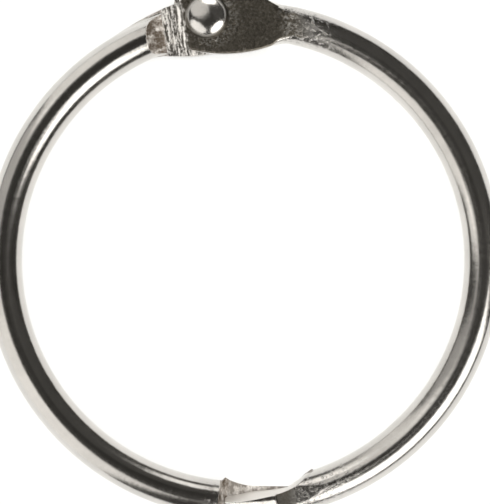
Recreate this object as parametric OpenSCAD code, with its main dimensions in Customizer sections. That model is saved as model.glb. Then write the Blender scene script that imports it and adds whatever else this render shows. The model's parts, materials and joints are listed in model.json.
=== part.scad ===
// Hinged loose-leaf ring of plated steel wire. Two half rings are riveted together at the hinge,
// where each wire is pressed flat into an ear, and hook over each other at the clasp, where each
// wire is pressed to a half-thick tongue. Both halves are the same kind of stamping, turned over.
//
// Frame: the closed ring lies flat with its centre at the origin, and z = 0 is the plane where the
// two halves meet. +Y points at the hinge and +Z at the rivet's domed head.
// Clasp angles are counted from -Y, positive towards +X.

/* [Ring] */
// Inside diameter of the closed ring
inner_d = 38.1; // [36:0.1:42]
// Diameter of the round wire
wire_d = 3.2; // [3.1:0.05:3.3]

/* [Ears] */
// How far the rivet's axis lies outside the wire's centreline
rivet_offset = 0.45; // [0.35:0.05:0.6]
// Height of an ear's flat outer face over the lap plane
ear_h = 1.25; // [1.1:0.05:1.35]
// Distance from the rivet's axis to an ear's straight free end
ear_end = 2.65; // [2.4:0.05:2.8]
// Distance from the rivet's axis to the foot of the shoulder that the other ear swings past
shoulder_at = 3.2; // [3.18:0.02:3.4]
// Radius of the shoulder's hollow face
shoulder_r = 2.3; // [2:0.1:2.5]

/* [Rivet] */
// Radius of the rivet's shank
shank_r = 1; // [0.8:0.05:1.2]
// Radius of the domed head
head_r = 1.9; // [1.6:0.05:2]
// Height of the domed head
head_h = 1.4; // [1:0.05:1.5]
// Radius of the peened tail
tail_r = 1.65; // [1.4:0.05:1.8]

/* [Clasp] */
// Angle of the middle of the clasp
clasp_angle = -3.2; // [-4:0.1:-2.5]
// Length of a tongue on each side of the clasp's middle
tongue_half = 3.5; // [3.2:0.05:3.8]
// Gap between a tongue's end and the step behind which it hooks
tip_gap = 0.5; // [0.45:0.05:0.6]
// Height of the hidden tooth near each tongue's end
tooth_h = 0.3; // [0.2:0.05:0.35]

/* [Hidden] */
$fn = 96;

NICKEL = [0.76, 0.75, 0.72];
BRIGHT_NICKEL = [0.86, 0.85, 0.83];

wire_r = wire_d / 2;
ring_r = inner_d / 2 + wire_r;          // radius of the wire's centreline
hinge_y = ring_r + rivet_offset;
lap = 0.03;                             // half the play between the two halves
room = 8;                               // size of a cutting solid past what it cuts

// Ears. Each side of an outline is one long arc, given by its radius and its furthest point.
swing_r = shoulder_at - 0.08;           // an ear's outer corner keeps inside this circle
FRONT_EAR = [[12, [2.8, -3.5]], [9.2, [-0.6, 2.9]]];
BACK_EAR = [[13, [0.6, -3.14]], [12, [-0.6, 2.4]]];
shoulder_step = 0.2;                    // small step at the shoulder's foot
face_flat = 6.7;                        // the ear's outer face is level as far as this
face_runout = 2.6;                      // and rises to the round wire over this length
ear_root_angle = 8;                     // where the wire starts inside the ear, from +Y
bore_play = 0.05;                       // running clearance of the front ear on the shank

// Rivet
head_play = 0.03;
tail_h = wire_r - ear_h - 0.02;         // the tail stays above the surface the ring lies on

// Clasp. The tongue's inner side is a slanting facet that runs out to the round wire at its root.
tip_deg = arc_deg(tongue_half);
step_deg = arc_deg(tongue_half + tip_gap);
facet_deg = 6.2;                        // where the facet faces the ring's centre, from the middle
facet_top = ring_r - 0.4;               // distance of the facet from the centre, at the crest
FRONT_FACET = ring_r - 1.0;             // and at the lap plane
BACK_FACET = ring_r - 1.25;
facet_ramp = [1.7, 0.8];                // length and rise of the run-out
tooth_from_end = 0.65;
tooth_r = 0.45;
tooth_play = 0.06;
tooth_len = 1.2;
tooth_at = ring_r + 0.5;                // distance of the tooth's middle from the ring's centre

// The angle that a length of the wire's centreline spans
function arc_deg(length) = length / ring_r * 180 / PI;

// Long arc of radius r whose furthest point, above or below its centre, is p
module side_arc(side) {
    r = side[0];
    p = side[1];
    translate([p[0], p[1] - sign(p[1]) * r]) circle(r, $fn = 240);
}

// Outline of an ear about the rivet's axis, with the wire leaving it towards +x
module ear_outline(ear) {
    intersection() {
        side_arc(ear[0]);
        side_arc(ear[1]);
        translate([-ear_end, -room]) square([3 * room, 2 * room]);
        union() {
            circle(swing_r);
            translate([0, -room]) square([3 * room, 2 * room]);
            translate([-room, -room]) square([2 * room, room]);
        }
    }
}

// Section of the room that pressing leaves on the other half's side of the lap plane. It is open
// towards -x, and closed by a hollow face of radius r that ends at x = 0. The hollow's foot stands
// off the lap plane by the given step.
module lap_section(r, step) {
    translate([-2 * room, -room]) square([2 * room - r, room + lap]);
    translate([-r, lap - step - r]) circle(r);
    translate([-2 * room, -room]) square([2 * room, room + lap - step - r]);
}

// Sweeps a section in x and z along y, over the full room on both sides
module across(width) {
    translate([0, width / 2, 0]) rotate([90, 0, 0]) linear_extrude(width) children();
}

// Places children on the wire's centreline at a clasp angle, with x along the wire
module on_wire(angle) {
    rotate([0, 0, angle]) translate([0, -ring_r, 0]) children();
}

module ear_face_room() {
    across(2 * room) polygon([
        [-room, ear_h], [face_flat, ear_h],
        [face_flat + face_runout, wire_r], [face_flat + face_runout + 1, wire_r + 1],
        [face_flat, room], [-room, room]]);
}

module tongue_facet_room(low) {
    slant = atan((facet_top - low) / wire_r);
    translate([0, ring_r - low, 0]) rotate([slant, 0, 0]) translate([0, 0, -room / 2])
        linear_extrude(room) polygon([
            [-room, 0], [0, 0], [facet_ramp[0], facet_ramp[1]],
            [facet_ramp[0], room / 2], [-room, room / 2]]);
}

// Round bar that lies across the wire and stands out of the lap plane by the tooth's height.
// It is the tooth of one tongue and, a little larger, the pocket in the other.
module tooth_bar(side, play) {
    translate([0, ring_r - tooth_at + tooth_len / 2 + play, side * (tooth_r - tooth_h)])
        rotate([90, 0, 0]) cylinder(r = tooth_r + play, h = tooth_len + 2 * play);
}

// One half ring on the +X side, with its ear and tongue above the lap plane
module half_ring(ear, bore_r, middle, facet_low) {
    difference() {
        union() {
            rotate([0, 0, middle - tip_deg - 90])
                rotate_extrude(angle = 180 - ear_root_angle - middle + tip_deg, $fn = 240)
                    translate([ring_r, 0]) circle(wire_r);
            translate([0, hinge_y, lap]) linear_extrude(ear_h - lap) ear_outline(ear);
            on_wire(middle - tip_deg + arc_deg(tooth_from_end)) tooth_bar(1, 0);
        }
        translate([0, hinge_y, 0]) {
            ear_face_room();
            translate([shoulder_at + shoulder_r, 0, 0])
                across(2 * room) lap_section(shoulder_r, shoulder_step);
            cylinder(r = bore_r, h = 2 * room, center = true);
        }
        difference() {
            on_wire(middle + step_deg) across(room) lap_section(tip_gap, 0);
            on_wire(middle - tip_deg + arc_deg(tooth_from_end)) tooth_bar(1, 0);
        }
        on_wire(middle + facet_deg) tongue_facet_room(facet_low);
        on_wire(middle + tip_deg - arc_deg(tooth_from_end)) tooth_bar(-1, tooth_play);
    }
}

module right_half_ring() {
    color(NICKEL) half_ring(FRONT_EAR, shank_r + bore_play, clasp_angle, FRONT_FACET);
}

module left_half_ring() {
    color(NICKEL) rotate([0, 180, 0]) half_ring(BACK_EAR, shank_r, -clasp_angle, BACK_FACET);
}

// Spherical cap on the plane z = 0
module cap(r, h) {
    ball_r = (r * r + h * h) / (2 * h);
    rotate_extrude() intersection() {
        translate([0, h - ball_r]) circle(ball_r);
        square([r + 1, h + 1]);
    }
}

module hinge_rivet() {
    color(BRIGHT_NICKEL) translate([0, hinge_y, 0]) {
        translate([0, 0, ear_h + head_play]) cap(head_r, head_h);
        translate([0, 0, -ear_h]) cylinder(r = shank_r, h = 2 * ear_h + head_play + head_h / 2);
        translate([0, 0, -ear_h]) mirror([0, 0, 1]) cap(tail_r, tail_h);
    }
}

left_half_ring();
right_half_ring();
hinge_rivet();
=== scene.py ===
"""Builds the finished looks of a hinged loose-leaf ring around its frame.

Each half ring starts as a plain round wire, swept along its arc by Geometry Nodes. Its two ends are
then pressed to shape: flat into an ear at the hinge, and to a half-thick tongue at the clasp. The
pressed shapes are distance fields in millimetres, negative inside the metal. The wire's points move
along rays from the middle of each section until they meet the field's surface.

A half ring is shaped on the +X side with its ear and tongue above the plane where the halves meet.
The left one is the same kind of stamping turned over.
"""

import json
import math
from types import SimpleNamespace

import bmesh
import bpy
import numpy as np
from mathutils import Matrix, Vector, noise


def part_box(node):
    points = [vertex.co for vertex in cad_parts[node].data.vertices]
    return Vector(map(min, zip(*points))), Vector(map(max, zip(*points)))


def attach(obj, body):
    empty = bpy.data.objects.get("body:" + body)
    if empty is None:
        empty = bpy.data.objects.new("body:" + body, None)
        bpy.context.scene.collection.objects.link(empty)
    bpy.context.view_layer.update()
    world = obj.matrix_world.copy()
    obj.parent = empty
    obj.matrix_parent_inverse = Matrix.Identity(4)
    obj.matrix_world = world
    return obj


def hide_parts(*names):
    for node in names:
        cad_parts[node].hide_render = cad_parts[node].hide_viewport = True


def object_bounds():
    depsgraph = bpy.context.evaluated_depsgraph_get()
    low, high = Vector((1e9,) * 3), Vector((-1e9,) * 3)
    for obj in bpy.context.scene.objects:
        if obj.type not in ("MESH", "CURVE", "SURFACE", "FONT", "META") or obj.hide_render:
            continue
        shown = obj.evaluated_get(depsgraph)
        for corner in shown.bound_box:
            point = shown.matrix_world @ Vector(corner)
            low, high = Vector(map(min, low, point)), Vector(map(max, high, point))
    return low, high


bl_info = {
    "name": "Loose-Leaf Ring",
    "version": (1, 0, 0),
    "blender": (4, 5, 0),
    "location": "3D View > Sidebar > Loose-Leaf Ring",
    "description": "Builds a hinged ring of nickel-plated wire, riveted at one end and hooked at the other",
    "category": "Add Mesh",
}

MM = 0.001
SIDES = 144                        # points around the wire

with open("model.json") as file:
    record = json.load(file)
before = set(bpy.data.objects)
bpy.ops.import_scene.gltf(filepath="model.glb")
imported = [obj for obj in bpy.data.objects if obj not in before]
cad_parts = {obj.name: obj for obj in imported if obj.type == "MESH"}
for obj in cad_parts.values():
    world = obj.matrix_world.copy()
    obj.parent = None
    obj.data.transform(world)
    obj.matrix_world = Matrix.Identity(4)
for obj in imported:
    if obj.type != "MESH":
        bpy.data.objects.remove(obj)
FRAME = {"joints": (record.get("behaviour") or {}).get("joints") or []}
CAD_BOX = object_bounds()
HINGE = next(joint for joint in FRAME["joints"] if joint["name"] == "ring_hinge")
RIGHT_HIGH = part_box("right_half_ring")[1] / MM
RIVET_LOW, RIVET_HIGH = (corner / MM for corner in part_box("hinge_rivet"))

# Sizes in millimetres, worked out from the frame
WIRE_R = RIGHT_HIGH.z
RING_R = RIGHT_HIGH.x - WIRE_R
HINGE_Y = HINGE["pos_m"][1] / MM
HEAD_R = RIVET_HIGH.x
HEAD_TOP = RIVET_HIGH.z
TAIL_Z = RIVET_LOW.z


# --------------------------------------------
# Settings
# --------------------------------------------


def length(name, description, default, low=0.0):
    """A length in metres, shown in the scene's units."""
    return bpy.props.FloatProperty(
        name=name, description=description, default=default * MM, min=low, precision=5,
        unit="LENGTH", subtype="DISTANCE")


def colour(name, description, default):
    """A colour picked in the sidebar."""
    return bpy.props.FloatVectorProperty(
        name=name, description=description, default=default, min=0.0, max=1.0, size=3,
        subtype="COLOR")


def share(name, description, default, high=1.0):
    """A plain number from 0 to a highest value."""
    return bpy.props.FloatProperty(
        name=name, description=description, default=default, min=0.0, max=high)


class RingSizes(bpy.types.PropertyGroup):
    """Sizes of the wire, the pressed ends and the rivet."""

    ear_height: length("Ear Height", "Height of the ear's flat face over the lap plane", 1.25)
    ear_edge: length("Ear Edge", "Rounding of the ear's outer edges", 0.2)
    lap_play: length("Lap Play", "Half the gap between the two halves", 0.03)
    shank_radius: length("Shank Radius", "Radius of the rivet's shank", 1.0)
    head_radius: length("Head Radius", "Radius of the rivet's domed head", HEAD_R)
    tail_radius: length("Tail Radius", "Radius of the rivet's peened tail", 1.65)
    sides: bpy.props.IntProperty(
        name="Sides", description="Points around the wire", default=SIDES, min=24, max=256)


class RingFinish(bpy.types.PropertyGroup):
    """Colours and wear of the nickel plate, and the colour of painted shade in its hollows."""

    plate: colour("Plate", "Colour of clean nickel plate", (0.70, 0.675, 0.64))
    # This colour is painted shade and painted reflection in the hollows and where the halves meet
    hollow_shade: colour("Hollow Shade", "Colour of plate in the hollows", (0.54, 0.495, 0.445))
    gloss_roughness: share("Gloss Roughness", "Roughness of the drawn wire", 0.2)
    coined_roughness: share("Coined Roughness", "Roughness of the pressed faces", 0.34)
    scratch_depth: share("Scratch Depth", "Strength of the scratches", 0.35)


class StageSettings(bpy.types.PropertyGroup):
    """Floor, lights and camera."""

    floor: colour("Floor", "Colour of the floor", (0.86, 0.86, 0.85))
    sun: share("Top Light", "Strength of the light from straight above", 3.8, 20.0)
    lens: bpy.props.FloatProperty(
        name="Lens", description="Focal length in millimetres", default=200.0, min=50.0)


# --------------------------------------------
# The two halves
# --------------------------------------------

# Side arcs of an ear, seen along the rivet: radius, and the furthest point from the rivet's axis.
# The clasp's middle is an angle from -Y. facet_low is the tongue facet's distance from the ring's
# centre at the lap plane. The lump is the burr beside the step: its place along the wire, and its
# radius. Only a ground half has the bright flank and the flat at its tongue's root. The flank is
# painted pale as a reflection and the flat is painted dark.
RIGHT = SimpleNamespace(
    name="right", side=1, belly=(12.0, 2.8, -3.5), crown=(9.2, -0.6, 2.9),
    clasp=math.radians(-3.2), facet_low=RING_R - 1.0, lump=(0.25, 0.36), ground=True)
LEFT = SimpleNamespace(
    name="left", side=-1, belly=(13.0, 0.6, -3.14), crown=(16.0, -0.6, 1.95),
    clasp=math.radians(3.2), facet_low=RING_R - 1.25, lump=(-0.75, 0.5), ground=False)

EAR_END = 2.65             # an ear's straight free end, from the rivet's axis
WIRE_START = 2.87          # the round wire starts here inside the ear
SHOULDER_AT = 3.2          # foot of the shoulder, from the rivet's axis
SHOULDER_R = 2.3           # radius of the shoulder's hollow face
SHOULDER_STEP = 0.2        # small step at the shoulder's foot
RIDGE_IN = 0.3             # middle of the ridge at the foot, from the foot into the shoulder
RIDGE_R = 0.32
SWING_R = 3.12             # an ear's outer corner keeps inside this circle
FACE_FLAT = 6.7            # the ear's face is level as far as this
FACE_RUNOUT = 2.6          # and rises to the round wire over this length
BEVEL_AT = 2.07            # the free end is bevelled from here
BEVEL_SLOPE = 0.42
BLANK_FILLET = 0.45        # where the ear grows out of the wire
TONGUE_HALF = 3.5 / RING_R         # angle of a tongue on each side of the clasp's middle
STEP_HALF = 4.0 / RING_R           # angle of the step behind which the other tongue hooks
FACET_TURN = math.radians(6.2)     # the facet faces the ring's centre this far from the middle
FACET_TOP = RING_R - 0.4           # distance of the facet from the centre, at the crest
FACET_RUNOUT = 0.47                # slope at which the facet runs out to the round wire
FLANK_SIDE = RING_R - 0.76         # the ground flank's lower part, from the centre
FLANK_TOP = RING_R - 0.57          # and its upper edge at the crest
FLANK_SLOPE = 0.8
FLANK_RUNOUT = 0.42                # slope at which it runs out past the facet's root
TIP_TAPER = 3.0                    # facet and flank start to narrow here, towards the tip
FLAT_TURN = math.radians(5.9)      # middle of the flat on the crest, from the clasp's middle
FLAT_HALF = 1.1                    # half its length
FLAT_DEEP = 0.18                   # and its depth under the crest
COVE_R = 0.85                      # radius of the hollow at a tongue's root
TOOTH_BACK = 0.65 / RING_R         # angle from a tongue's end to its tooth
TOOTH_R = 0.45
TOOTH_H = 0.3
TOOTH_PLAY = 0.06                  # the pocket is larger than the tooth by this much all round
TOOTH_LEN = 1.0
TOOTH_AT = RING_R + 0.65           # distance of the tooth's middle from the ring's centre
EAR_ZONE = -8                      # points above this height from the rivet are the ear's
CLASP_ZONE = -35                   # and points below this one are the clasp's
FAR = 50.0                         # a distance that limits nothing
HALVINGS = 22                      # steps in finding where a ray leaves the metal


def round_max(a, b, r):
    """Overlap of two solids, with their shared edge rounded by r."""
    return np.minimum(np.maximum(a, b), -r) + np.hypot(np.maximum(a + r, 0), np.maximum(b + r, 0))


def round_min(a, b, r):
    """Union of two solids, with the corner between them filled by r."""
    return -round_max(-a, -b, r)


def ease(low, high, value):
    """0 at low, 1 at high, level past them, and a smooth curve between. Low may be the larger."""
    t = np.clip((value - low) / (high - low), 0, 1)
    return t * t * (3 - 2 * t)


def wire_field(x, y, z):
    """The round wire."""
    return np.hypot(np.hypot(x, y) - RING_R, z) - WIRE_R


def ear_outline(tx, ty, half):
    """The ear seen along the rivet, about the rivet's axis."""
    belly_r, belly_x, belly_y = half.belly
    crown_r, crown_x, crown_y = half.crown
    belly = np.hypot(tx - belly_x, ty - belly_y - belly_r) - belly_r
    crown = np.hypot(tx - crown_x, ty - crown_y + crown_r) - crown_r
    outline = round_max(round_max(belly, crown, 0.1), -EAR_END - tx, 0.3)
    corner = np.where((tx < 0) & (ty > 0), np.hypot(tx, ty) - SWING_R, -FAR)
    return round_max(outline, corner, 0.15)


def face_height(tx, sizes):
    """Height of the ear's outer face: level, bevelled at its free end, and rising at its root."""
    rise = (WIRE_R - sizes.ear) / FACE_RUNOUT
    bevel = BEVEL_SLOPE * np.maximum(-tx - BEVEL_AT, 0)
    return sizes.ear + rise * np.maximum(tx - FACE_FLAT, 0) - bevel


def ear_field(p, half, sizes):
    """The pressed end at the hinge."""
    x, y, z = p[..., 0], p[..., 1], p[..., 2]
    tx, ty = x, y - HINGE_Y
    wire = wire_field(x, y, z)
    outline = ear_outline(tx, ty, half)
    blank = round_max(outline, sizes.lap - z, 0.2)
    body = round_min(np.maximum(wire, WIRE_START - tx), blank, BLANK_FILLET)
    wave = 0.012 * np.sin(1.3 * tx + 0.8 * ty) + 0.008 * np.sin(2.9 * ty - 1.7 * tx)
    face = z - face_height(tx, sizes) - wave
    edge = sizes.edge * (1 - 0.55 * ease(4.5, 7.0, tx)) * (1 - 0.5 * ease(-1.7, -2.5, tx))
    edge = edge + np.where(ty < 0, 0.34 * ease(5.0, 6.0, tx) * ease(7.8, 6.8, tx), 0)
    body = round_max(body, face, edge)
    body = round_max(body, shoulder_cut(tx, z, sizes), 0.06)
    ridge = shoulder_ridge(tx, z, sizes) + 0.2 * ease(-0.7, -0.1, wire)
    return round_min(body, round_max(ridge, wire + 0.1, 0.1), 0.12)


def shoulder_cut(tx, z, sizes):
    """What is left of the metal beside the hollow that the other ear swings past."""
    shelf = np.maximum(tx - SHOULDER_AT, z - sizes.lap)
    hollow = round_max(
        tx - SHOULDER_AT - SHOULDER_R, z - sizes.lap + SHOULDER_STEP, SHOULDER_R)
    return round_max(-shelf, -hollow, 0.07)


def shoulder_ridge(tx, z, sizes):
    """Ridge of pushed-up metal along the shoulder's foot."""
    return np.hypot(tx - SHOULDER_AT - RIDGE_IN, z - sizes.lap + SHOULDER_STEP) - RIDGE_R


def along_wire(p, angle):
    """Distance along the wire from a clasp angle, and distance from the ring's centre."""
    s, c = math.sin(angle), math.cos(angle)
    return p[..., 0] * c + p[..., 1] * s, p[..., 0] * s - p[..., 1] * c


def tooth_field(p, angle, height, play):
    """Round bar across the wire: the tooth of a tongue, or the pocket it drops into."""
    x, v = along_wire(p, angle)
    bar = np.hypot(x, p[..., 2] - height) - TOOTH_R - play
    return round_max(bar, np.abs(v - TOOTH_AT) - TOOTH_LEN / 2 - play, 0.12)


def clasp_field(p, half, sizes):
    """The pressed end at the clasp."""
    z = p[..., 2]
    body = wire_field(p[..., 0], p[..., 1], z)
    x, v = along_wire(p, half.clasp + STEP_HALF)
    body = round_min(body, burr(x, v, z, half), 0.25)
    body = round_max(body, -round_max(x, z - sizes.lap, COVE_R), 0.05)
    body = round_max(body, -tongue_facet(p, half), 0.05)
    if half.ground:
        body = round_max(body, -ground_flank(p, half), 0.05)
        body = round_max(body, crest_flat(p, half), 0.04)
    x, v = along_wire(p, half.clasp - TONGUE_HALF)
    heel = np.where((z < 0.6) & (x < 1.0), round_max(-x, sizes.lap - z, 0.4), -FAR)
    body = round_max(round_max(body, -x, 0.1), heel, 0.02)
    bar = TOOTH_R - TOOTH_H
    tooth = tooth_field(p, half.clasp - TONGUE_HALF + TOOTH_BACK, bar, 0)
    body = round_min(body, tooth, 0.03)
    pocket = tooth_field(p, half.clasp + TONGUE_HALF - TOOTH_BACK, -bar, TOOTH_PLAY)
    return round_max(body, -pocket, 0.04)


def burr(x, v, z, half):
    """Small lump of metal pushed out on the ring's inner side, beside the step."""
    lump_x, lump_r = half.lump
    inner = RING_R - WIRE_R - 0.12
    return np.sqrt((x - lump_x) ** 2 + 2.5 * (v - inner) ** 2 + (z - 0.2) ** 2) - lump_r


def tongue_facet(p, half):
    """Room above the slanting facet on a tongue's inner side, which runs out to the round wire."""
    x, v = along_wire(p, half.clasp + FACET_TURN)
    slope = (FACET_TOP - half.facet_low) / WIRE_R
    lean = 0.037 * np.minimum(x + TIP_TAPER, 0) ** 2 * half.ground / WIRE_R
    pressed = (v - half.facet_low - (slope - lean) * p[..., 2]) / math.hypot(1, slope)
    runout = (pressed + FACET_RUNOUT * x) / math.hypot(1, FACET_RUNOUT)
    return round_max(pressed, runout, 0.5)


def ground_flank(p, half):
    """Room above the ground flank that makes the front tongue's bright inner edge."""
    x, v = along_wire(p, half.clasp + FACET_TURN)
    radius = np.hypot(p[..., 0], p[..., 1])
    side = radius - FLANK_SIDE - 0.05 * p[..., 2]
    top = FLANK_TOP - 0.055 * np.minimum(x + TIP_TAPER, 0) ** 2
    flank = (v - top - FLANK_SLOPE * (p[..., 2] - WIRE_R)) / math.hypot(1, FLANK_SLOPE)
    return np.minimum(side, flank) + FLANK_RUNOUT * np.maximum(x + 0.1, 0)


def crest_flat(p, half):
    """Flat with a sharp left edge, pressed on the crest at the front tongue's root."""
    x, _ = along_wire(p, half.clasp + FLAT_TURN)
    past = np.abs(x) - FLAT_HALF
    return p[..., 2] - WIRE_R + FLAT_DEEP - np.where(x < 0, 1.5, 0.1) * np.maximum(past, 0)


def cast(origin, direction, field, reach=5.0):
    """Points where rays from inside the metal leave it, found by halving the reach."""
    near = np.zeros(direction.shape[:-1])
    far = np.full(direction.shape[:-1], reach)
    for _ in range(HALVINGS):
        middle = (near + far) / 2
        inside = field(origin + direction * middle[..., None]) < 0
        near = np.where(inside, middle, near)
        far = np.where(inside, far, middle)
    return origin + direction * ((near + far) / 2)[..., None]


def share_out(points, closed, bend_weight=0.5):
    """Running share, from 0 to 1, of each row's length and of its turning."""
    after = np.roll(points, -1, axis=1) if closed else points[:, 1:]
    step = after - (points if closed else points[:, :-1])
    length_of = np.linalg.norm(step, axis=-1) + 1e-9
    way = step / length_of[..., None]
    if closed:
        turn = np.arccos(np.clip((way * np.roll(way, 1, axis=1)).sum(-1), -1, 1))
        turn = (turn + np.roll(turn, -1, axis=1)) / 2
    else:
        bend = np.arccos(np.clip((way[:, 1:] * way[:, :-1]).sum(-1), -1, 1))
        turn = np.pad(bend, ((0, 0), (1, 0))) / 2 + np.pad(bend, ((0, 0), (0, 1))) / 2
    weight = (1 - bend_weight) * length_of / length_of.sum(1, keepdims=True)
    weight = weight + bend_weight * turn / (turn.sum(1, keepdims=True) + 1e-9)
    total = np.pad(np.cumsum(weight, axis=1), ((0, 0), (1, 0)))
    return total / total[:, -1:]


def unit(v):
    """Vectors brought to length 1."""
    return v / np.linalg.norm(v, axis=-1, keepdims=True)


# --------------------------------------------
# Stations along the wire, as angles from +Y
# --------------------------------------------

CAP_RINGS = 26             # rings of points that close each end
DENSE = 540                # rays tried around each section
EAR_MIDDLE = 0.55          # from an end's face to the section that its closing rings start from
TONGUE_MIDDLE = 0.45
RAY_R = 1.6                # half sizes of the rays' ellipse on the round wire
EAR_LIFT = 0.64            # the section's middle moves up inside the ear
TONGUE_LIFT = 0.72         # and up and outwards inside the tongue
TONGUE_OUT = 0.52
CAP_STEP = 0.002           # angle between the closing rings before they are moved into place
PLAIN_SPACING = 0.45       # between rings of points on the plain wire
SMOOTH_REACH = 8           # rows on each side over which the points' angles are smoothed
BLEND_ROWS = (2, 40)       # rows from the plain wire over which its even angles give way


def stations(marks, spacings):
    """Even angles from each mark up to the next, at a spacing in millimetres for each stretch."""
    found = []
    for low, high, spacing in zip(marks[:-1], marks[1:], spacings):
        count = max(2, int(round((high - low) / (spacing / RING_R))))
        found += list(np.linspace(low, high, count, endpoint=False))
    return found


def ear_stations():
    """Angles along the ear, closest together at the shoulder's foot."""
    places = [-EAR_END + EAR_MIDDLE, SHOULDER_AT - 0.12, SHOULDER_AT + 0.6, 9.6]
    return stations([math.asin(x / RING_R) for x in places], [0.075, 0.02, 0.07])


def clasp_stations(half):
    """Angles along the clasp's end, closest together at the step."""
    step = math.pi - half.clasp - STEP_HALF
    end = math.pi - half.clasp + TONGUE_HALF - TONGUE_MIDDLE / RING_R
    marks = [step - 2.6 / RING_R, step - 0.07 / RING_R, step + 0.07 / RING_R,
             step + 0.6 / RING_R, end]
    return stations(marks, [0.06, 0.009, 0.04, 0.05]) + [end]


def all_stations(half):
    """Angles of every ring of points, and how many of them belong to the ear and the clasp."""
    ear, clasp = ear_stations(), clasp_stations(half)
    plain = stations([ear[-1] + 0.01, clasp[0]], [PLAIN_SPACING])
    return np.array(ear + plain + clasp), len(ear), len(clasp)


def section_frames(angles, at_ear, half):
    """Middle of each section, its outward direction, and the half sizes of its rays' ellipse."""
    s, c = np.sin(angles), np.cos(angles)
    if at_ear:
        tx = RING_R * s
        pressed = ease(6.8, 3.6, tx)
        turn = angles * ease(3.0, 8.0, tx)
        middle = np.stack([RING_R * s, RING_R * c, EAR_LIFT * pressed], -1)
        outward = np.stack([np.sin(turn), np.cos(turn), 0 * turn], -1)
        wide, tall = RAY_R + pressed, RAY_R - pressed
    else:
        step = math.pi - half.clasp - STEP_HALF
        pressed = ease(step - 2.4 / RING_R, step - 0.1 / RING_R, angles)
        radius = RING_R + TONGUE_OUT * pressed
        middle = np.stack([radius * s, radius * c, TONGUE_LIFT * pressed], -1)
        outward = np.stack([s, c, 0 * s], -1)
        wide, tall = RAY_R - 0.7 * pressed, RAY_R - 0.9 * pressed
    return middle, outward, wide, tall


def smooth_rows(values, reach):
    """Moving average over neighbouring rows."""
    padded = np.pad(values, ((reach, reach), (0, 0)), mode="edge")
    return sum(padded[k:k + len(values)] for k in range(2 * reach + 1)) / (2 * reach + 1)


def press_sections(angles, sides, at_ear, half, field):
    """Points of every section, evenly shared between its length and its turning."""
    middle, outward, wide, tall = section_frames(angles, at_ear, half)
    up = np.array([0.0, 0.0, 1.0])

    def rays(turns):
        across = (wide[:, None] * np.cos(turns))[..., None] * outward[:, None]
        return unit(across + (tall[:, None] * np.sin(turns))[..., None] * up)

    dense = np.linspace(0, 2 * math.pi, DENSE, endpoint=False)
    dense = np.broadcast_to(dense, (len(angles), DENSE))
    origin = middle[:, None]
    shares = share_out(cast(origin, rays(dense), field), closed=True)
    ends = np.concatenate([dense, np.full((len(angles), 1), 2 * math.pi)], 1)
    wanted = sides / (2 * math.pi)
    turns = np.stack([np.interp(wanted, shares[k], ends[k]) for k in range(len(angles))])
    turns = smooth_rows(turns, SMOOTH_REACH)
    rows = np.arange(len(angles))
    rows = (rows[::-1] if at_ear else rows)[:, None]
    turns = sides + (turns - sides) * ease(*BLEND_ROWS, rows)
    way = rays(turns)
    return cast(origin, way, field), middle, way


def close_end(middle, way, forward, depth, field):
    """Rings of points from the last section over the end's face to its pole."""
    dense = np.linspace(0, math.pi / 2, 120)
    low, high = np.cos(dense), np.sin(dense)
    rays = unit(low[None, :, None] * way[:, None] + (depth * high)[None, :, None] * forward)
    found = cast(middle, rays, field)
    shares = share_out(found, closed=False, bend_weight=0.55)
    wanted = np.arange(1, CAP_RINGS + 1) / CAP_RINGS
    lifts = np.stack([np.interp(wanted, row, dense) for row in shares])
    low, high = np.cos(lifts), np.sin(lifts)
    low[:, -1] = 0
    rays = unit(low[..., None] * way[:, None] + (depth * high)[..., None] * forward)
    return np.swapaxes(cast(middle, rays, field), 0, 1)


# --------------------------------------------
# Node helpers
# --------------------------------------------


def feed(tree, socket, value):
    """Gives an input a plain value or a link from another node's output."""
    if isinstance(value, bpy.types.NodeSocket):
        tree.links.new(value, socket)
    else:
        socket.default_value = value


def add_node(tree, kind, inputs=None, **settings):
    """A node with its settings, its inputs given by name or index as a value or a socket."""
    node = tree.nodes.new(kind)
    for key, value in settings.items():
        setattr(node, key, value)
    for key, value in (inputs or {}).items():
        feed(tree, node.inputs[key], value)
    return node


def group_socket(tree, name, kind, default=None, is_output=False):
    """A named input or output of a node group."""
    socket = tree.interface.new_socket(
        name=name, in_out="OUTPUT" if is_output else "INPUT", socket_type=kind)
    if default is not None:
        socket.default_value = default
    return socket


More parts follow.
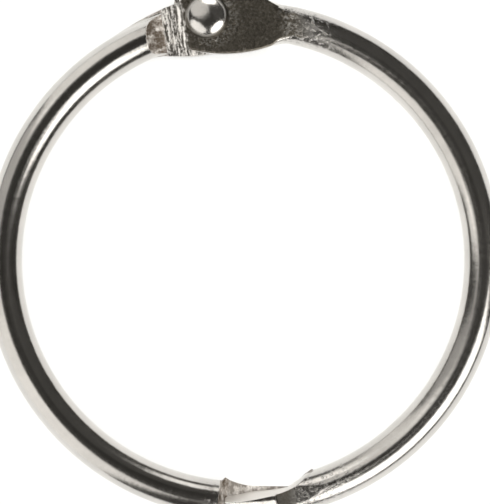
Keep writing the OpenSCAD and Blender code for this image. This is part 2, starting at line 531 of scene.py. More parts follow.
def wire_tree():
    """Geometry Nodes: sweeps a round section along a path and numbers its rings."""
    tree = bpy.data.node_groups.new("Swept Wire", "GeometryNodeTree")
    group_socket(tree, "Geometry", "NodeSocketGeometry")
    group_socket(tree, "Geometry", "NodeSocketGeometry", is_output=True)
    group_socket(tree, "Wire Radius", "NodeSocketFloat", WIRE_R * MM)
    group_socket(tree, "Sides", "NodeSocketInt", SIDES)
    group_socket(tree, "Material", "NodeSocketMaterial")
    start = add_node(tree, "NodeGroupInput")
    index = add_node(tree, "GeometryNodeInputIndex")
    keep = add_node(tree, "GeometryNodeCaptureAttribute", {"Geometry": start.outputs["Geometry"]})
    keep.capture_items.new("INT", "Ring")
    tree.links.new(index.outputs[0], keep.inputs[1])
    path = add_node(tree, "GeometryNodeMeshToCurve", {"Mesh": keep.outputs["Geometry"]})
    level = add_node(tree, "GeometryNodeSetCurveNormal", {"Curve": path.outputs["Curve"]},
                     mode="Z_UP")
    section = add_node(tree, "GeometryNodeCurvePrimitiveCircle", {
        "Resolution": start.outputs["Sides"], "Radius": start.outputs["Wire Radius"]})
    tube = add_node(tree, "GeometryNodeCurveToMesh", {
        "Curve": level.outputs["Curve"], "Profile Curve": section.outputs["Curve"]})
    store = add_node(tree, "GeometryNodeStoreNamedAttribute", {
        "Geometry": tube.outputs["Mesh"], "Name": "ring", "Value": keep.outputs[1]},
        data_type="INT", domain="POINT")
    real = add_node(tree, "GeometryNodeRealizeInstances", {"Geometry": store.outputs["Geometry"]})
    paint = add_node(tree, "GeometryNodeSetMaterial", {
        "Geometry": real.outputs["Geometry"], "Material": start.outputs["Material"]})
    add_node(tree, "NodeGroupOutput", {"Geometry": paint.outputs["Geometry"]})
    return tree


def new_object(name, data):
    """An object in the scene that shows a mesh, a light or a camera."""
    found = bpy.data.objects.new(name, data)
    bpy.context.scene.collection.objects.link(found)
    return found


def set_input(modifier, name, value):
    """Sets a modifier's input by its socket's identifier."""
    sockets = modifier.node_group.interface.items_tree
    found = next(s for s in sockets if s.name == name and s.in_out == "INPUT")
    modifier[found.identifier] = value


def apply_all(obj):
    """Turns the evaluated object into a plain mesh and removes its modifiers."""
    graph = bpy.context.evaluated_depsgraph_get()
    mesh = bpy.data.meshes.new_from_object(obj.evaluated_get(graph))
    obj.modifiers.clear()
    old, obj.data = obj.data, mesh
    bpy.data.meshes.remove(old)
    return obj


def sweep_wire(name, angles, sides, material):
    """A plain round wire along the ring, with one ring of points for each angle."""
    path = bpy.data.meshes.new(name)
    points = [(RING_R * MM * math.sin(a), RING_R * MM * math.cos(a), 0) for a in angles]
    path.from_pydata(points, [(k, k + 1) for k in range(len(points) - 1)], [])
    obj = new_object(name, path)
    sweep = obj.modifiers.new("Swept Wire", "NODES")
    sweep.node_group = bpy.data.node_groups.get("Swept Wire") or wire_tree()
    set_input(sweep, "Wire Radius", WIRE_R * MM)
    set_input(sweep, "Sides", sides)
    set_input(sweep, "Material", material)
    return apply_all(obj)


def mesh_points(mesh):
    """A mesh's points in metres, one row for each."""
    co = np.zeros(len(mesh.vertices) * 3)
    mesh.vertices.foreach_get("co", co)
    return co.reshape(-1, 3)


def store(mesh, name, kind, values):
    """Keeps a value or a vector at each point, for the material to read."""
    found = mesh.attributes.get(name) or mesh.attributes.new(name, kind, "POINT")
    key = "vector" if kind == "FLOAT_VECTOR" else "value"
    found.data.foreach_set(key, np.asarray(values, np.float32).ravel())


# --------------------------------------------
# Pieces
# --------------------------------------------

HEAD_PLAY = 0.03           # the rivet's head stands off the ear by this much
DOME_POWER = 2.35          # 2 would be an ellipse, and more is fuller at the edge
DOME_END = math.radians(78)        # the dome's curve gives way to the lip here
LIP_R = 0.09               # rounding of the head's lower edge
DULL_SHADED_RIM = (2.30, 2.06)    # heights between which the dome's plate turns dull and is painted dark as shade
BORE_PLAY = 0.05           # running clearance of the front ear on the shank


def half_ring(half, settings, material):
    """One half ring as a mesh in its own body, pressed at both ends."""
    sizes = SimpleNamespace(
        ear=settings.ear_height / MM, edge=settings.ear_edge / MM, lap=settings.lap_play / MM)
    angles, ear_count, clasp_count = all_stations(half)
    before = angles[0] - CAP_STEP * np.arange(CAP_RINGS, 0, -1)
    after = angles[-1] + CAP_STEP * np.arange(1, CAP_RINGS + 1)
    path = np.concatenate([before, angles, after])
    name = f"{half.name}_half_ring_pressed"
    obj = sweep_wire(name, path, settings.sides, material)
    mesh = obj.data
    points = mesh_points(mesh).reshape(len(path), settings.sides, 3) / MM
    plain = points[len(path) // 2]
    turns = np.arctan2(plain[:, 2], np.hypot(plain[:, 0], plain[:, 1]) - RING_R)
    turns = np.mod(turns, 2 * math.pi)
    order = np.argsort(turns)

    def at_ear(p):
        return ear_field(p, half, sizes)

    def at_clasp(p):
        return clasp_field(p, half, sizes)

    for field, ear, part in (
            (at_ear, True, slice(CAP_RINGS, CAP_RINGS + ear_count)),
            (at_clasp, False, slice(len(path) - CAP_RINGS - clasp_count, len(path) - CAP_RINGS))):
        found, middle, way = press_sections(path[part], turns[order], ear, half, field)
        points[part, order] = found
        last = 0 if ear else -1
        forward = np.array([-1.0, 0, 0]) if ear else tip_direction(half)
        depth = EAR_MIDDLE if ear else TONGUE_MIDDLE
        cap = close_end(middle[last], way[last], forward, depth, field)
        if ear:
            points[:CAP_RINGS, order] = cap[::-1]
        else:
            points[-CAP_RINGS:, order] = cap
    flat = points.reshape(-1, 3)
    drawn = np.stack(np.broadcast_arrays(
        path[:, None] * RING_R, np.cos(turns)[None], np.sin(turns)[None]), -1)
    store(mesh, "drawn", "FLOAT_VECTOR", drawn)
    marks, rolled = press_marks(flat, half, sizes)
    store(mesh, "rolled", "FLOAT_VECTOR", rolled)
    for key, values in marks.items():
        store(mesh, key, "FLOAT", values)
    turn_over = np.array([half.side, 1, half.side])
    mesh.vertices.foreach_set("co", (flat * turn_over * MM).astype(np.float32).ravel())
    mesh.update()
    tidy_mesh(mesh)
    return obj


def tip_direction(half):
    """Direction in which a tongue ends, along the wire."""
    angle = half.clasp - TONGUE_HALF
    return np.array([-math.cos(angle), -math.sin(angle), 0])


def press_marks(p, half, sizes):
    """Shares of each kind of pressed surface, and places along and across the marks there."""
    x, y, z = p[:, 0], p[:, 1], p[:, 2]
    tx, ty = x, y - HINGE_Y
    at_ear, at_clasp = ty > EAR_ZONE, ty < CLASP_ZONE
    step_x, step_v = along_wire(p, half.clasp + STEP_HALF)
    facet_x, _ = along_wire(p, half.clasp + FACET_TURN)

    # The ear's face is coined and painted dark as far as its rounded edges. Its bevel is rubbed
    # streaky and gets painted highlight and painted shadow streaks
    belly_edge = np.where(ty < -1, ease(5.0, 5.8, tx) * ease(7.8, 7.0, tx), 0)
    below = z - face_height(tx, sizes)
    face = ease(-0.2 + 0.15 * belly_edge, -0.06 + 0.04 * belly_edge, below)
    face = np.where(at_ear, face * ease(9.0, 7.2, tx), 0)
    bevel = ease(-1.8, -2.15, tx + 0.10 * np.sin(5.3 * ty) + 0.07 * np.sin(12.1 * ty + 1))
    coined_painted_dark = face * (1 - 0.65 * bevel)

    # Faces that lie on the plane where the halves meet
    beside_wire = (tx < SHOULDER_AT) | ((tx < 6.5) & (wire_field(x, y, z) > 0.03))
    at_tongue = at_clasp & (step_x < 0)
    lap = np.where(np.abs(z - sizes.lap) < 0.06, 1, 0) * (at_tongue | (at_ear & beside_wire))

    # The tongue's facet and flank are ground and painted pale as a reflection, and the flat at its
    # root is coined and painted dark
    flank = tongue_facet(p, half)
    if half.ground:
        flat_x, _ = along_wire(p, half.clasp + FLAT_TURN)
        flat = ease(0.05, 0.0, np.abs(crest_flat(p, half))) * ease(FLAT_HALF, -0.3, flat_x)
        coined_painted_dark = np.maximum(coined_painted_dark, np.where(at_clasp, 0.85 * flat, 0))
        flank = np.minimum(np.abs(flank), np.abs(ground_flank(p, half)))
    ground = np.where(at_clasp, ease(0.06, 0.02, np.abs(flank)) * ease(1.2, -0.6, facet_x), 0)
    ground = ground * ease(sizes.lap + 0.02, sizes.lap + 0.1, z)

    # Painted shade and painted reflection, brown, go in the shoulder's hollow, in the step's cove,
    # round the burr and on the faces where the halves meet
    ridge = np.abs(shoulder_ridge(tx, z, sizes) + 0.1) < 0.17
    cut = np.abs(shoulder_cut(tx, z, sizes)) < 0.06
    shoulder = at_ear & (tx > SHOULDER_AT - 0.05) & (z < 0.25) & (cut | ridge)
    by_foot = at_ear & (tx < SHOULDER_AT + RIDGE_IN + RIDGE_R)
    cove = shoulder & (tx > SHOULDER_AT + RIDGE_IN + RIDGE_R)
    step = at_clasp & (np.abs(step_x + COVE_R / 2) < COVE_R / 2 + 0.05) & (z < sizes.lap - 0.02)
    hollow = np.where(cove | step, 1.0, np.where(by_foot, 0, 0.8 * lap))
    if half.ground:
        by_burr = ease(0.12, 0.0, burr(step_x, step_v, z, half))
        hollow = np.maximum(hollow, np.where(at_clasp & (step_x > -0.5), by_burr, 0))

    # The other ear rubs the ridge and the strip beside it. These and the ear's bevel also get
    # painted highlight and painted shadow streaks
    strip = np.where(by_foot, lap, 0)
    rubbed_painted_streaks = np.maximum(np.where(shoulder & ~cove, 1.0, strip), face * bevel)

    # Hammer marks surround the rivet, and pits the roots of the ear and the tongue. On the coined
    # faces the hammer marks also carry painted highlights
    peened = 0.8 * face * ease(3.1, 2.0, np.hypot(tx, ty)) * ease(-1.8, -0.6, tx)
    root = ease(5.8, 7.0, tx) * ease(11.5, 8.0, tx) * ease(0.3, 1.0, z)
    near_step = ease(2.2, 0.0, step_x) * ease(-0.1, 0.0, step_x)
    tongue_root = ease(9.0, 2.5, facet_x) * ease(-0.5, 0.3, facet_x) * ease(0.2, 0.9, z)
    scuffed = np.where(at_clasp, 0.3 * np.maximum(near_step, tongue_root), 0)
    scuffed = np.where(at_ear, np.maximum(peened, root), scuffed)

    across = np.stack([np.where(cove, tx, np.where(at_ear, ty, step_v)),
                       np.where(cove, ty, np.where(at_ear, tx, step_x)), z], -1)
    return {"coined_painted_dark": coined_painted_dark, "hollow": hollow, "ground": ground, "scuffed": scuffed,
            "rubbed_painted_streaks": rubbed_painted_streaks}, across


def smooth_into(work, mesh):
    """Makes every face smooth and writes the working copy into a mesh."""
    for face in work.faces:
        face.smooth = True
    work.to_mesh(mesh)
    work.free()


def tidy_mesh(mesh):
    """Merges the poles and turns every face outwards."""
    work = bmesh.new()
    work.from_mesh(mesh)
    bmesh.ops.remove_doubles(work, verts=work.verts, dist=2e-8)
    bmesh.ops.dissolve_degenerate(work, edges=work.edges, dist=1e-9)
    bmesh.ops.recalc_face_normals(work, faces=work.faces)
    smooth_into(work, mesh)


def turned(name, profile, steps=128):
    """A solid of revolution about the rivet's axis, from a profile of (radius, height)."""
    work = bmesh.new()
    verts = [work.verts.new((r * MM, 0, z * MM)) for r, z in profile]
    edges = [work.edges.new(pair) for pair in zip(verts[:-1], verts[1:])]
    bmesh.ops.spin(work, geom=verts + edges, cent=(0, 0, 0), axis=(0, 0, 1),
                   angle=2 * math.pi, steps=steps)
    bmesh.ops.remove_doubles(work, verts=work.verts, dist=1e-7)
    bmesh.ops.recalc_face_normals(work, faces=work.faces)
    bmesh.ops.translate(work, verts=work.verts, vec=(0, HINGE_Y * MM, 0))
    mesh = bpy.data.meshes.new(name)
    smooth_into(work, mesh)
    return new_object(name, mesh)


def drill(obj, radius):
    """Cuts the rivet's bore through an ear."""
    reach = 4
    tool = turned("drill", [(0, reach), (radius, reach), (radius, -reach), (0, -reach)], steps=96)
    cut = obj.modifiers.new("Bore", "BOOLEAN")
    cut.object = tool
    cut.operation = "DIFFERENCE"
    cut.solver = "EXACT"
    apply_all(obj)
    bpy.data.objects.remove(tool)
    return obj


def arc_points(centre, radius, first, last, count):
    """Points of (radius, height) on an arc, by angle from the horizontal."""
    return [(centre[0] + radius * math.cos(a), centre[1] + radius * math.sin(a))
            for a in np.linspace(first, last, count)]


def rivet_profile(settings):
    """Half section of the rivet, from the dome's top round to the tail's."""
    shank, tail_r = settings.shank_radius / MM, settings.tail_radius / MM
    head_r, ear = settings.head_radius / MM, settings.ear_height / MM
    seat = ear + HEAD_PLAY
    height = HEAD_TOP - seat
    dome = [(head_r * math.sin(a),
             seat + height * (1 - math.sin(a) ** DOME_POWER) ** (1 / DOME_POWER))
            for a in np.linspace(0, DOME_END, 48)]
    rim_r, rim_z = dome[-1]
    dome.append((rim_r + 0.6 * (head_r - rim_r), (rim_z + seat + LIP_R) / 2))
    lip = arc_points((head_r - LIP_R, seat + LIP_R), LIP_R, 0.0, -math.pi / 2, 8)
    tail_h = -ear - TAIL_Z
    tail_ball = (tail_r ** 2 + tail_h ** 2) / (2 * tail_h)
    tail_rim = math.asin((tail_ball - tail_h) / tail_ball)
    tail = arc_points((0, TAIL_Z + tail_ball), tail_ball, -tail_rim, -math.pi / 2, 24)
    tail[-1] = (0, TAIL_Z)
    return dome + lip + [(shank, seat), (shank, -ear)] + tail


def make_rivet(settings, material):
    """The turned rivet, with a dome that peening has left very slightly uneven."""
    obj = turned("hinge_rivet_turned", rivet_profile(settings))
    points = mesh_points(obj.data)
    for point in points:
        place = Vector(point) / MM
        up = max(0.0, min(1.0, (place.z - 1.4) / 0.6))
        point[2] += up * 0.018 * MM * noise.noise(place * 0.9 + Vector((3.1, 0, 0)))
    obj.data.vertices.foreach_set("co", points.astype(np.float32).ravel())
    obj.data.materials.append(material)
    obj.data.update()
    return obj


# --------------------------------------------
# Materials
# --------------------------------------------


def new_material(name):
    """A material with one shader, its node tree and that shader."""
    material = bpy.data.materials.new(name)
    material.use_nodes = True
    tree = material.node_tree
    tree.nodes.clear()
    shader = add_node(tree, "ShaderNodeBsdfPrincipled")
    add_node(tree, "ShaderNodeOutputMaterial", {"Surface": shader.outputs["BSDF"]})
    return material, tree, shader


def math_node(operation, first, *others, clamp=False):
    """A sum, a product or the like, worked out from left to right."""
    tree = next(v.id_data for v in (first, *others) if isinstance(v, bpy.types.NodeSocket))
    for value in others:
        first = add_node(tree, "ShaderNodeMath", {0: first, 1: value}, operation=operation,
                         use_clamp=clamp).outputs[0]
    return first


def times(*values):
    """Product of values and sockets."""
    return math_node("MULTIPLY", *values)


def plus(*values):
    """Sum of values and sockets."""
    return math_node("ADD", *values)


def mix_colour(factor, a, b):
    """Colour a where the factor is 0, and b where it is 1."""
    node = add_node(factor.id_data, "ShaderNodeMix", data_type="RGBA")
    for key, value in (("Factor_Float", factor), ("A_Color", a), ("B_Color", b)):
        feed(factor.id_data, next(s for s in node.inputs if s.identifier == key), value)
    return next(s for s in node.outputs if s.identifier == "Result_Color")


def window(value, low, high):
    """0 at low, 1 at high, and level past them. Low may be the larger."""
    return add_node(value.id_data, "ShaderNodeMapRange", {
        "Value": value, "From Min": low, "From Max": high}, clamp=True).outputs["Result"]


def scaled(vector, scale):
    """Coordinates stretched by one number, or by one for each axis."""
    scale = scale if isinstance(scale, tuple) else (scale,) * 3
    return add_node(vector.id_data, "ShaderNodeMapping", {"Vector": vector, "Scale": scale},
                    vector_type="POINT").outputs["Vector"]


def grain(vector, scale, detail=3.0, rough=0.55):
    """Noise whose grains are finer along an axis where its scale is larger."""
    return add_node(vector.id_data, "ShaderNodeTexNoise", {
        "Vector": scaled(vector, scale), "Scale": 1.0, "Detail": detail,
        "Roughness": rough}).outputs["Fac"]


def place_on(tree, scale=1.0):
    """Places on the piece itself, in metres or at another scale."""
    place = add_node(tree, "ShaderNodeTexCoord").outputs["Object"]
    return place if scale == 1.0 else scaled(place, scale)


def stored(tree, output, *names):
    """Outputs that read what is kept at the mesh's points."""
    return [add_node(tree, "ShaderNodeAttribute", attribute_name=name).outputs[output]
            for name in names]


def shade(colour, red, green, blue):
    """A colour with each of its parts made darker or lighter."""
    return (colour[0] * red, colour[1] * green, colour[2] * blue, 1.0)


def nickel_wire(finish):
    """Nickel plate on drawn wire: draw lines along it, scratches and grit on the pressed faces."""
    material, tree, shader = new_material("nickel_wire_plate")
    plate, hollow_shade = (*finish.plate, 1.0), (*finish.hollow_shade, 1.0)
    spot = place_on(tree, 1 / MM)
    drawn, rolled = stored(tree, "Vector", "drawn", "rolled")
    coined_painted_dark, hollow, ground, scuffed, rubbed_painted_streaks = stored(
        tree, "Fac", "coined_painted_dark", "hollow", "ground", "scuffed", "rubbed_painted_streaks")

    # Draw lines and chatter follow the wire, streaks and smudges the pressed faces
    lines = grain(drawn, (0.12, 5.5, 5.5), 4.0, 0.6)
    chatter = grain(drawn, (3.2, 0.7, 0.7), 3.0, 0.6)
    streak = grain(rolled, (0.9, 4.0, 2.0), 3.0, 0.7)
    smudge = grain(rolled, (0.75, 1.2, 0.8), 3.0, 0.6)
    cloud = grain(spot, 0.35)
    orange_peel = grain(spot, 1.6, 2.0)
    grit = grain(spot, 4.2, 3.0, 0.65)
    pits = window(grain(spot, 3.4), 0.55, 0.68)
    specks = window(grit, 0.62, 0.74)

    # Clean plate, then coined faces painted dark as the dark room they mirror, with bright specks
    # of clean plate, and dints beside the rivet painted bright as highlights
    tint = mix_colour(window(cloud, 0.35, 0.75), plate,
                      shade(finish.plate, 0.86, 0.86, 0.86))
    # Painted dark reflection on the coined faces
    face = mix_colour(window(grit, 0.35, 0.65), shade(finish.plate, 0.22, 0.205, 0.175),
                      shade(finish.plate, 0.40, 0.375, 0.33))
    tint = mix_colour(coined_painted_dark, tint, face)
    tint = mix_colour(times(coined_painted_dark, specks, 0.45), tint, plate)
    # Painted highlights on the dints beside the rivet
    dint_glints = times(window(grit, 0.48, 0.60), times(coined_painted_dark, scuffed))
    tint = mix_colour(times(dint_glints, 0.8), tint, plate)

    # Painted shade and painted reflection, mottled brown, in the hollows and where the halves
    # meet, with painted highlights of pale plate in places
    mottle = plus(times(window(smudge, 0.44, 0.58), 0.5),
                  times(window(streak, 0.42, 0.60), 0.25),
                  times(window(grit, 0.42, 0.60), 0.25))
    patchy = mix_colour(window(mottle, 0.22, 0.8),
                        shade(finish.hollow_shade, 0.24, 0.205, 0.17), hollow_shade)
    patchy = mix_colour(window(mottle, 0.75, 0.95), patchy,
                        shade(finish.plate, 1.2, 1.18, 1.16))
    # Painted shade in the hollows and on the faces where the halves meet
    tint = mix_colour(hollow, tint, patchy)

    # Painted highlight and painted shadow streaks where the halves rub, over the rubbing's wear,
    # and painted reflection that makes the ground faces pale
    painted_streaks = plus(times(streak, 0.75), times(grit, 0.25))
    painted_streaks = mix_colour(window(painted_streaks, 0.45, 0.57),
                        shade(finish.plate, 0.10, 0.093, 0.082),
                        shade(finish.plate, 1.2, 1.19, 1.17))
    # Painted highlight and painted shadow streaks where the halves rub
    tint = mix_colour(rubbed_painted_streaks, tint, painted_streaks)
    # Painted reflection that makes the ground faces pale
    tint = mix_colour(ground, tint, shade(finish.plate, 1.16, 1.15, 1.14))
    tree.links.new(tint, shader.inputs["Base Color"])

    rough = add_node(tree, "ShaderNodeMapRange", {
        "Value": coined_painted_dark, "To Min": finish.gloss_roughness,
        "To Max": finish.coined_roughness}).outputs["Result"]
    uneven = plus(lines, math_node("SUBTRACT", chatter, 1.0))
    for part, amount in ((hollow, 0.26), (ground, 0.22), (uneven, 0.12), (scuffed, 0.06),
                         (rubbed_painted_streaks, 0.18)):
        rough = plus(rough, times(part, amount))
    tree.links.new(math_node("MINIMUM", rough, 1.0), shader.inputs["Roughness"])
    matte = plus(times(hollow, 0.6), times(ground, 0.5),
                 times(rubbed_painted_streaks, 0.5))
    tree.links.new(math_node("SUBTRACT", 1.0, matte, clamp=True), shader.inputs["Metallic"])

    lined = math_node("MAXIMUM", hollow, rubbed_painted_streaks)
    bare = math_node("MAXIMUM", coined_painted_dark, lined)
    pressed = plus(times(grit, 0.9), times(smudge, 0.6),
                   times(streak, 2.2, lined))
    bump = None
    for height, strength, distance in (
            (lines, 0.10, 0.02), (orange_peel, 0.30, 0.03), (chatter, 0.12, 0.02),
            (times(bare, pressed), finish.scratch_depth, 0.10),
            (times(pits, scuffed), 0.8, 0.05)):
        inputs = {"Height": height, "Strength": strength, "Distance": distance * MM}
        if bump:
            inputs["Normal"] = bump.outputs["Normal"]
        bump = add_node(tree, "ShaderNodeBump", inputs)
    tree.links.new(bump.outputs["Normal"], shader.inputs["Normal"])
    return material


def bright_nickel(finish):
    """Bright rivet plate, faintly swirled by barrel polishing, with painted shade on its dull edge."""
    material, tree, shader = new_material("bright_nickel_plate")
    spot = place_on(tree, 1 / MM)
    height = add_node(tree, "ShaderNodeSeparateXYZ", {"Vector": spot}).outputs["Z"]
    dull_painted_dark = window(height, *DULL_SHADED_RIM)
    cloud = grain(spot, 0.9)
    fine = grain(spot, (2.6, 2.6, 1.5), 4.0, 0.6)
    plate = (*finish.plate, 1.0)
    tint = mix_colour(window(cloud, 0.4, 0.7), plate,
                      shade(finish.plate, 0.9, 0.9, 0.9))
    # Painted shade on the dull edge, darker towards the bottom
    tint = mix_colour(times(dull_painted_dark, 0.9), tint, shade(finish.plate, 0.26, 0.25, 0.23))
    tree.links.new(tint, shader.inputs["Base Color"])
    rough = plus(times(fine, 0.14), 0.12, times(dull_painted_dark, 0.12))
    tree.links.new(rough, shader.inputs["Roughness"])
    shader.inputs["Metallic"].default_value = 1.0
    bump = add_node(tree, "ShaderNodeBump", {
        "Height": fine, "Strength": 0.30, "Distance": 0.05 * MM})
    tree.links.new(bump.outputs["Normal"], shader.inputs["Normal"])
    return material


def floor_paper(settings):
    """Matt pale paper, very slightly cloudy."""
    material, tree, shader = new_material("floor_paper")
    cloud = grain(place_on(tree), 18.0, 2.0)
    pale = (*settings.floor, 1.0)
    tint = mix_colour(cloud, pale, tuple(c * 0.985 for c in settings.floor) + (1.0,))
    tree.links.new(tint, shader.inputs["Base Color"])
    shader.inputs["Roughness"].default_value = 0.9
    shader.inputs["Specular IOR Level"].default_value = 0.1
    return material


# --------------------------------------------
# Stage
# --------------------------------------------

TILT = math.radians(8.5)           # the ring is seen turned by this much about its own axis
VIEW_CENTRE = (0.26, 0.67)         # middle of the view on the ring's plane
VIEW_HEIGHT = 43.42                # height of the view there
STAGE_R = 0.6                      # distance of the lights, in metres
FLOOR_HALF = 3.0                   # half the floor's side, in metres
SOFT_WHITE = (1.0, 0.985, 0.955)
ROOM_LIGHT = 0.03                  # strength of the dim room that the metal mirrors
SHADOW_PART = 0.3                  # part of the top light that casts shadows

# Soft boxes: the pieces each one lights, azimuths clockwise from the view's right, angles from
# straight up, and brightness
SOFT_BOXES = [
    ("key_right", ("right",), (12, 80), (35, 76), 2.2),
    ("key_right_low", ("right",), (80, 97), (12, 44), 2.4),
    ("key_left", ("left",), (25, 67), (32, 60), 2.4),
    ("key_left_high", ("left",), (38, 64), (19, 33), 2.4),
    ("window_left", ("left",), (117, 172), (26, 95), 1.05),
    ("window_right", ("right",), (117, 164), (38, 95), 1.0),
    ("gap_right", ("right",), (165, 179), (28, 74), 1.0),
    ("panel_left_low", ("left",), (188, 216), (32, 84), 0.48),
    ("panel_left_high", ("left",), (216, 250), (38, 88), 0.95),
    ("panel_right_low", ("right",), (194, 218), (24, 82), 0.40),
    ("panel_right_high", ("right",), (218, 244), (14, 88), 0.85),
    ("strip_left", ("left",), (272, 293), (50, 74), 1.4),
    ("strip_right", ("right",), (244, 264), (38, 68), 1.6),
    ("dim_wall", ("left", "right", "rivet"), (286, 356), (18, 74), 0.035),
    ("rivet_key", ("rivet",), (14, 72), (38, 100), 2.6),
    ("rivet_window", ("rivet",), (94, 172), (28, 98), 0.95),
    ("rivet_panel", ("rivet",), (190, 268), (8, 94), 0.56),
    ("rivet_strip", ("rivet",), (254, 304), (42, 96), 1.7),
]


def view_direction(azimuth, down):
    """Unit vector for an azimuth clockwise from the view's right, and an angle from +Z."""
    turn = -math.radians(azimuth) - TILT
    s = math.sin(math.radians(down))
    return Vector((s * math.cos(turn), s * math.sin(turn), math.cos(math.radians(down))))


def lit_group(name):
    """The pieces that a soft box lights."""
    return bpy.data.collections.get(name) or bpy.data.collections.new(name)


def soft_box(name, pieces, azimuths, downs, brightness):
    """A rectangular light as seen from the ring, between two azimuths and two angles from +Z."""
    azimuth, down = sum(azimuths) / 2, sum(downs) / 2
    wide = math.radians(azimuths[1] - azimuths[0]) * math.sin(math.radians(down))
    tall = math.radians(downs[1] - downs[0])
    data = bpy.data.lights.new(name, "AREA")
    data.shape = "ELLIPSE" if pieces == ("rivet",) else "RECTANGLE"
    data.size = 2 * STAGE_R * math.tan(wide / 2)
    data.size_y = 2 * STAGE_R * math.tan(tall / 2)
    data.energy = brightness * math.pi * data.size * data.size_y
    data.color = SOFT_WHITE
    obj = new_object(name, data)
    way = view_direction(azimuth, down)
    obj.location = way * STAGE_R
    obj.rotation_euler = way.to_track_quat("Z", "Y").to_euler()
    obj.visible_camera = False
    receivers = bpy.data.collections.new(name + "_lights")
    for piece in pieces:
        receivers.children.link(lit_group(piece))
    obj.light_linking.receiver_collection = receivers
    return obj


def dim_room():
    """A world that is dim to the metal, and pale where it is seen directly."""
    world = bpy.data.worlds.new("Dim Room")
    world.use_nodes = True
    tree = world.node_tree
    tree.nodes.clear()
    seen = add_node(tree, "ShaderNodeLightPath").outputs["Is Camera Ray"]
    room = add_node(tree, "ShaderNodeBackground", {
        "Color": (1.0, 0.95, 0.86, 1.0), "Strength": ROOM_LIGHT})
    pale = add_node(tree, "ShaderNodeBackground", {
        "Color": (0.93, 0.93, 0.92, 1.0), "Strength": 1.0})
    both = add_node(tree, "ShaderNodeMixShader", {
        0: seen, 1: room.outputs["Background"], 2: pale.outputs["Background"]})
    add_node(tree, "ShaderNodeOutputWorld", {"Surface": both.outputs["Shader"]})
    bpy.context.scene.world = world


def top_light(name, strength, shadow):
    """Lights the floor evenly. The metal doesn't mirror it."""
    data = bpy.data.lights.new(name, "SUN")
    data.energy = strength
    data.angle = math.radians(60)
    data.use_shadow = shadow
    obj = new_object(name, data)
    obj.visible_glossy = False
    return obj


def make_floor(settings):
    """A flat floor under the ring."""
    mesh = bpy.data.meshes.new("floor")
    z = min(CAD_BOX[0].z, -WIRE_R * MM)
    mesh.from_pydata([(x * FLOOR_HALF, y * FLOOR_HALF, z)
                      for x, y in ((-1, -1), (1, -1), (1, 1), (-1, 1))], [], [(0, 1, 2, 3)])
    obj = new_object("floor", mesh)
    mesh.materials.append(floor_paper(settings))
    return obj


def make_camera(settings):
    """A long lens straight above the ring's plane."""
    data = bpy.data.cameras.new("camera")
    data.lens = settings.lens
    data.sensor_width = 36.0
    data.clip_start, data.clip_end = 0.001, 10.0
    obj = new_object("camera", data)
    distance = VIEW_HEIGHT * data.lens / data.sensor_width
    obj.location = Vector((VIEW_CENTRE[0], VIEW_CENTRE[1], distance)) * MM
    obj.rotation_euler = (0, 0, -TILT)
    bpy.context.scene.camera = obj
    return obj


# --------------------------------------------
# Operators and panel
# --------------------------------------------


def plate_material(context, name, make):
    """The named material, made the first time it is asked for."""
    return bpy.data.materials.get(name) or make(context.scene.ring_finish)


class RING_OT_left_half(bpy.types.Operator):
    """Press the left half ring, whose ear and tongue lie behind"""

    bl_idname = "ring.left_half"
    bl_label = "Left Half Ring"

    def execute(self, context):
        settings = context.scene.ring_sizes
        material = plate_material(context, "nickel_wire_plate", nickel_wire)
        obj = drill(half_ring(LEFT, settings, material), settings.shank_radius / MM)
        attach(obj, "left_half")
        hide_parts("left_half_ring")
        lit_group("left").objects.link(obj)
        return {"FINISHED"}


class RING_OT_right_half(bpy.types.Operator):
    """Press the right half ring, whose ear and tongue lie in front"""

    bl_idname = "ring.right_half"
    bl_label = "Right Half Ring"

    def execute(self, context):
        settings = context.scene.ring_sizes
        material = plate_material(context, "nickel_wire_plate", nickel_wire)
        obj = drill(half_ring(RIGHT, settings, material), settings.shank_radius / MM + BORE_PLAY)
        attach(obj, "right_half")
        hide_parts("right_half_ring")
        lit_group("right").objects.link(obj)
        return {"FINISHED"}


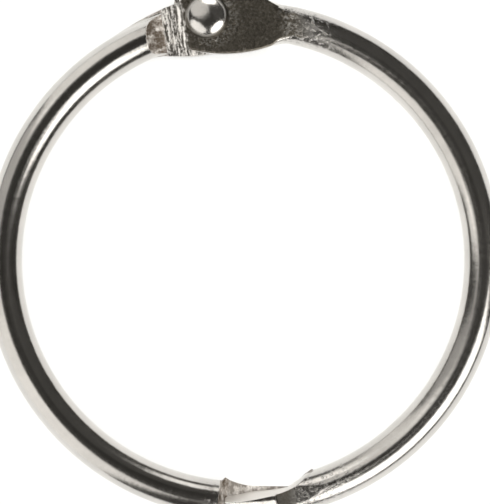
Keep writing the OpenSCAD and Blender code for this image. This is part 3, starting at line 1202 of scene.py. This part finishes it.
class RING_OT_rivet(bpy.types.Operator):
    """Turn the hinge rivet with its domed head and peened tail"""

    bl_idname = "ring.rivet"
    bl_label = "Hinge Rivet"

    def execute(self, context):
        material = plate_material(context, "bright_nickel_plate", bright_nickel)
        obj = make_rivet(context.scene.ring_sizes, material)
        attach(obj, "left_half")
        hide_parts("hinge_rivet")
        lit_group("rivet").objects.link(obj)
        return {"FINISHED"}


class RING_OT_stage(bpy.types.Operator):
    """Set up the pale floor, the soft lights and the camera"""

    bl_idname = "ring.stage"
    bl_label = "Stage"

    def execute(self, context):
        settings = context.scene.ring_stage
        make_camera(settings)
        make_floor(settings)
        top_light("top_light", settings.sun * SHADOW_PART, True)
        top_light("top_fill", settings.sun * (1 - SHADOW_PART), False)
        for box in SOFT_BOXES:
            soft_box(*box)
        dim_room()
        context.scene.view_settings.view_transform = "Standard"
        return {"FINISHED"}


OPERATORS = (RING_OT_stage, RING_OT_left_half, RING_OT_right_half, RING_OT_rivet)


class RING_PT_panel(bpy.types.Panel):
    """Lists the ring's pieces and settings"""

    bl_idname = "RING_PT_panel"
    bl_label = "Loose-Leaf Ring"
    bl_space_type = "VIEW_3D"
    bl_region_type = "UI"
    bl_category = "Loose-Leaf Ring"

    def draw(self, context):
        for operator in OPERATORS:
            self.layout.operator(operator.bl_idname)
        for group in (context.scene.ring_sizes, context.scene.ring_finish, context.scene.ring_stage):
            box = self.layout.box()
            for name in group.bl_rna.properties.keys():
                if name not in ("rna_type", "name"):
                    box.prop(group, name)


CLASSES = (RingSizes, RingFinish, StageSettings, *OPERATORS, RING_PT_panel)


def register():
    """Adds the classes and their settings to Blender."""
    for cls in CLASSES:
        bpy.utils.register_class(cls)
    bpy.types.Scene.ring_sizes = bpy.props.PointerProperty(type=RingSizes)
    bpy.types.Scene.ring_finish = bpy.props.PointerProperty(type=RingFinish)
    bpy.types.Scene.ring_stage = bpy.props.PointerProperty(type=StageSettings)


def unregister():
    """Takes them away again."""
    for name in ("ring_stage", "ring_finish", "ring_sizes"):
        delattr(bpy.types.Scene, name)
    for cls in reversed(CLASSES):
        bpy.utils.unregister_class(cls)


def main():
    """Builds the stage and every piece."""
    register()
    bpy.ops.ring.stage()
    bpy.ops.ring.left_half()
    bpy.ops.ring.right_half()
    bpy.ops.ring.rivet()


if __name__ == "__main__":
    main()
